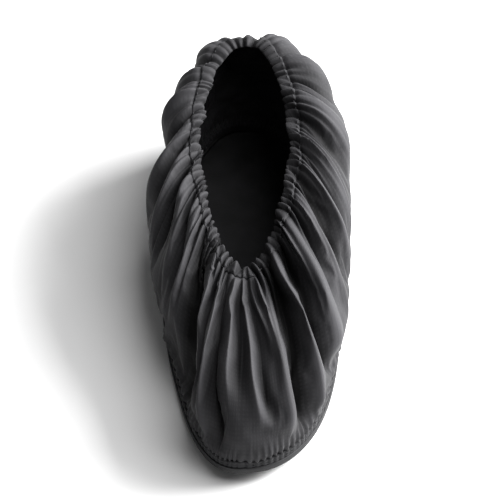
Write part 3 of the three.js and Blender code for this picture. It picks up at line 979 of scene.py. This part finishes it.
class OVERSHOE_OT_stitches(bpy.types.Operator):
    """Sews the band with two rows of stitches"""

    bl_idname = "overshoe.stitches"
    bl_label = "Stitches"

    def execute(self, context):
        scene = context.scene
        shape = Shape(scene)
        band = shape.band
        material = thread_material(tuple(scene.overshoe_finishes.thread))
        fine = np.linspace(0, 1, STITCH_STEPS + 1)
        turn = even_turns(fine, arc_lengths(shape.outline(fine, 0.0, 0.0)), band.stitch_pitch)
        for name, share in (("band_stitches_low", 0.25), ("band_stitches_high", 0.72)):
            height = shape.sole.edge_height + band.height * share
            line = shape.outline(turn, band.wall / 2 + band.thread * 0.25, height)
            out = unit(shape.outline(turn, 0.01, 0.0) - shape.outline(turn, 0.0, 0.0))
            piece = sew(name, line, out, band.stitch_length, band.thread, material)
            finish(piece, "")
        self.sew_casing(shape, material)
        return {"FINISHED"}

    def sew_casing(self, shape, material):
        """One row of stitches along the casing's lower edge, over its ruffles."""
        band = shape.band
        fine = np.linspace(0, 1, STITCH_STEPS + 1)
        arc, whole = shape.mouth_arc(fine[:-1])
        turn = even_turns(fine, np.append(arc, whole), band.stitch_pitch)
        line, out, _ = shape.tube(turn, np.array([0.75]), shape.hem_height())
        line = line[:, 0] + out[:, 0] * band.thread * 0.2
        piece = sew("casing_stitches", line, out[:, 0], band.stitch_length, band.thread, material)
        finish(piece, "")


def model_dot(width, height):
    """One low round grip dot that points down from the origin. Gives its points and faces."""
    dot = start_cylinder(DOT_SIDES, width, height)
    bpy.ops.transform.translate(value=(0, 0, -height / 2))
    bpy.ops.mesh.bisect(plane_co=(0, 0, -height * 0.7), plane_no=(0, 0, 1))
    bpy.ops.object.mode_set(mode="OBJECT")
    for depth, narrowed in ((0.6, 0.85), (0.9, 0.55)):
        pick(dot, places(dot)[:, 2] < -height * depth)
        bpy.ops.transform.resize(value=(narrowed, narrowed, 1))
        bpy.ops.object.mode_set(mode="OBJECT")
    return take_pattern(dot)


class OVERSHOE_OT_sole(bpy.types.Operator):
    """Moulds the grip sole with its turned-up edge and its dots"""

    bl_idname = "overshoe.sole"
    bl_label = "Grip sole"

    def execute(self, context):
        scene = context.scene
        shape = Shape(scene)
        sole = shape.sole
        rise = sole.edge_height - sole.dot_height
        sink = sole.thickness - sole.edge_height
        bpy.ops.object.select_all(action="DESELECT")
        bpy.ops.mesh.primitive_circle_add(
            vertices=SOLE_COLUMNS, radius=1, fill_type="NGON", location=(0, 0, 0))
        piece = context.object
        piece.name = "sole_grip"
        flat = shape.outline(np.arange(SOLE_COLUMNS) / SOLE_COLUMNS, sole.edge_wall, 0)
        flat[:, 2] = sole.dot_height
        piece.data.vertices.foreach_set("co", flat.ravel())
        bpy.ops.object.mode_set(mode="EDIT")
        bpy.ops.mesh.select_all(action="SELECT")
        bpy.ops.mesh.extrude_region_move(TRANSFORM_OT_translate={"value": (0, 0, rise)})
        bpy.ops.mesh.inset(thickness=sole.edge_wall)
        bpy.ops.mesh.extrude_region_move(TRANSFORM_OT_translate={"value": (0, 0, sink)})
        bpy.ops.mesh.select_all(action="SELECT")
        bpy.ops.mesh.normals_make_consistent(inside=False)
        bpy.ops.object.mode_set(mode="OBJECT")
        select_only(piece)
        rounded = piece.modifiers.new("rounded", "BEVEL")
        rounded.width = SOLE_ROUNDING
        rounded.segments = 3
        rounded.angle_limit = math.radians(SHARP_ANGLE)
        bpy.ops.object.modifier_apply(modifier=rounded.name)
        bpy.ops.object.mode_set(mode="EDIT")
        tip = shape.place[1] - sole.length / 2
        for step in range(1, SPRING_STEPS + 1):
            bpy.ops.mesh.select_all(action="SELECT")
            cut = tip + sole.spring_length * step / SPRING_STEPS
            bpy.ops.mesh.bisect(plane_co=(0, cut, 0), plane_no=(0, 1, 0))
        bpy.ops.object.mode_set(mode="OBJECT")
        points = places(piece)
        points[:, 2] += shape.spring(points[:, 1] - shape.place[1])
        piece.data.vertices.foreach_set("co", points.ravel())
        piece.data.update()
        shade(piece, sole_material(tuple(scene.overshoe_finishes.sole)))
        select_only(piece)
        bpy.ops.object.shade_smooth_by_angle(angle=math.radians(SHARP_ANGLE))
        finish(piece, "sole")
        self.add_dots(shape, piece.data.materials[0])
        return {"FINISHED"}

    def add_dots(self, shape, material):
        """Sets low round dots in staggered rows under the sole."""
        sole = shape.sole
        pattern, faces = model_dot(sole.dot_width, sole.dot_height)
        edge = shape.outline(np.arange(720) / 720, -DOT_MARGIN, 0.0)[:, :2]
        row_step = sole.dot_pitch * math.sqrt(3) / 2
        copies = []
        row = 0
        y = edge[:, 1].min() + 0.001
        while y < edge[:, 1].max():
            left, right = self.span(edge, y)
            start = (row % 2) * sole.dot_pitch / 2
            first = math.ceil((left - start) / sole.dot_pitch)
            last = math.floor((right - start) / sole.dot_pitch)
            z = float(shape.spring(y - shape.place[1])) + sole.dot_height
            for k in range(first, last + 1):
                x = start + k * sole.dot_pitch
                copies.append(pattern + np.array([x, y, z]))
            y += row_step
            row += 1
        finish(repeat_pattern("grip_dots", copies, faces, material), "")

    def span(self, edge, y):
        """The sole's left and right at a place along it."""
        crossings = []
        following = np.roll(edge, -1, axis=0)
        for a, b in zip(edge, following):
            if (a[1] - y) * (b[1] - y) <= 0 and a[1] != b[1]:
                crossings.append(a[0] + (b[0] - a[0]) * (y - a[1]) / (b[1] - a[1]))
        return min(crossings), max(crossings)


class OVERSHOE_OT_declare(bpy.types.Operator):
    """Does nothing; it states no size of the cloth's cut"""

    bl_idname = "overshoe.declare"
    bl_label = "Cloth's cut"

    def execute(self, context):
        return {"FINISHED"}


def soft_lamp(name, place, size, power):
    """Adds a square soft white light that faces the overshoe."""
    data = bpy.data.lights.new(name, "AREA")
    data.shape = "SQUARE"
    data.size = size
    data.energy = power
    lamp = bpy.data.objects.new(name, data)
    bpy.context.scene.collection.objects.link(lamp)
    lamp.location = place
    lamp.rotation_euler = (Vector(LAMP_TARGET) - Vector(place)).to_track_quat("-Z", "Y").to_euler()


class OVERSHOE_OT_stage(bpy.types.Operator):
    """Sets the floor, the lights and the camera"""

    bl_idname = "overshoe.stage"
    bl_label = "Stage"

    def execute(self, context):
        scene = context.scene
        bpy.ops.object.select_all(action="DESELECT")
        bpy.ops.mesh.primitive_plane_add(size=FLOOR_SIZE, location=(0, 0, 0))
        floor = context.object
        floor.name = "floor"
        nodes = Nodes("floor_paper")
        nodes.shader(base_color=tuple(scene.overshoe_finishes.floor) + (1.0,), roughness=0.9)
        floor.data.materials.append(nodes.material)
        world = bpy.data.worlds.new("studio")
        world.use_nodes = True
        background = world.node_tree.nodes["Background"]
        background.inputs["Color"].default_value = (1, 1, 1, 1)
        background.inputs["Strength"].default_value = WORLD_STRENGTH
        scene.world = world
        for lamp in LAMPS:
            soft_lamp(*lamp)
        elevation = math.radians(CAMERA_ELEVATION)
        data = bpy.data.cameras.new("photo_camera")
        data.lens = CAMERA_LENS
        data.sensor_width = CAMERA_SENSOR
        data.clip_end = 50
        camera = bpy.data.objects.new("photo_camera", data)
        scene.collection.objects.link(camera)
        back = Vector((0, -math.cos(elevation), math.sin(elevation)))
        camera.location = Vector(CAMERA_TARGET) + back * CAMERA_DISTANCE
        camera.rotation_euler = back.to_track_quat("Z", "Y").to_euler()
        scene.camera = camera
        scene.view_settings.view_transform = "Standard"
        return {"FINISHED"}


class OVERSHOE_PT_panel(bpy.types.Panel):
    """Lists the overshoe's pieces and sizes."""

    bl_label = "Cloth Overshoe"
    bl_idname = "OVERSHOE_PT_panel"
    bl_space_type = "VIEW_3D"
    bl_region_type = "UI"
    bl_category = "Overshoe"

    def draw(self, context):
        layout = self.layout
        scene = context.scene
        for operator in OPERATORS:
            layout.operator(operator.bl_idname)
        for group in (scene.overshoe_sole, scene.overshoe_upper, scene.overshoe_casing, scene.overshoe_band,
                      scene.overshoe_finishes):
            box = layout.box()
            for key in group.__annotations__:
                box.prop(group, key)


OPERATORS = (OVERSHOE_OT_upper, OVERSHOE_OT_casing, OVERSHOE_OT_band, OVERSHOE_OT_stitches, OVERSHOE_OT_sole,
             OVERSHOE_OT_declare, OVERSHOE_OT_stage)
GROUPS = {"overshoe_sole": SoleSizes, "overshoe_upper": UpperSizes, "overshoe_casing": CasingSizes,
          "overshoe_band": BandSizes, "overshoe_finishes": Finishes}


def register():
    """Registers the classes and gives the scene its sizes."""
    for group in GROUPS.values():
        bpy.utils.register_class(group)
    for name, group in GROUPS.items():
        setattr(bpy.types.Scene, name, bpy.props.PointerProperty(type=group))
    for operator in OPERATORS:
        bpy.utils.register_class(operator)
    bpy.utils.register_class(OVERSHOE_PT_panel)


def unregister():
    """Takes the classes and the scene's sizes away again."""
    bpy.utils.unregister_class(OVERSHOE_PT_panel)
    for operator in reversed(OPERATORS):
        bpy.utils.unregister_class(operator)
    for name, group in GROUPS.items():
        delattr(bpy.types.Scene, name)
        bpy.utils.unregister_class(group)


def main():
    """Builds the overshoe and its stage."""
    register()
    bpy.ops.overshoe.upper()
    bpy.ops.overshoe.casing()
    bpy.ops.overshoe.band()
    bpy.ops.overshoe.stitches()
    bpy.ops.overshoe.sole()
    bpy.ops.overshoe.declare()
    bpy.ops.overshoe.stage()


if __name__ == "__main__":
    main()
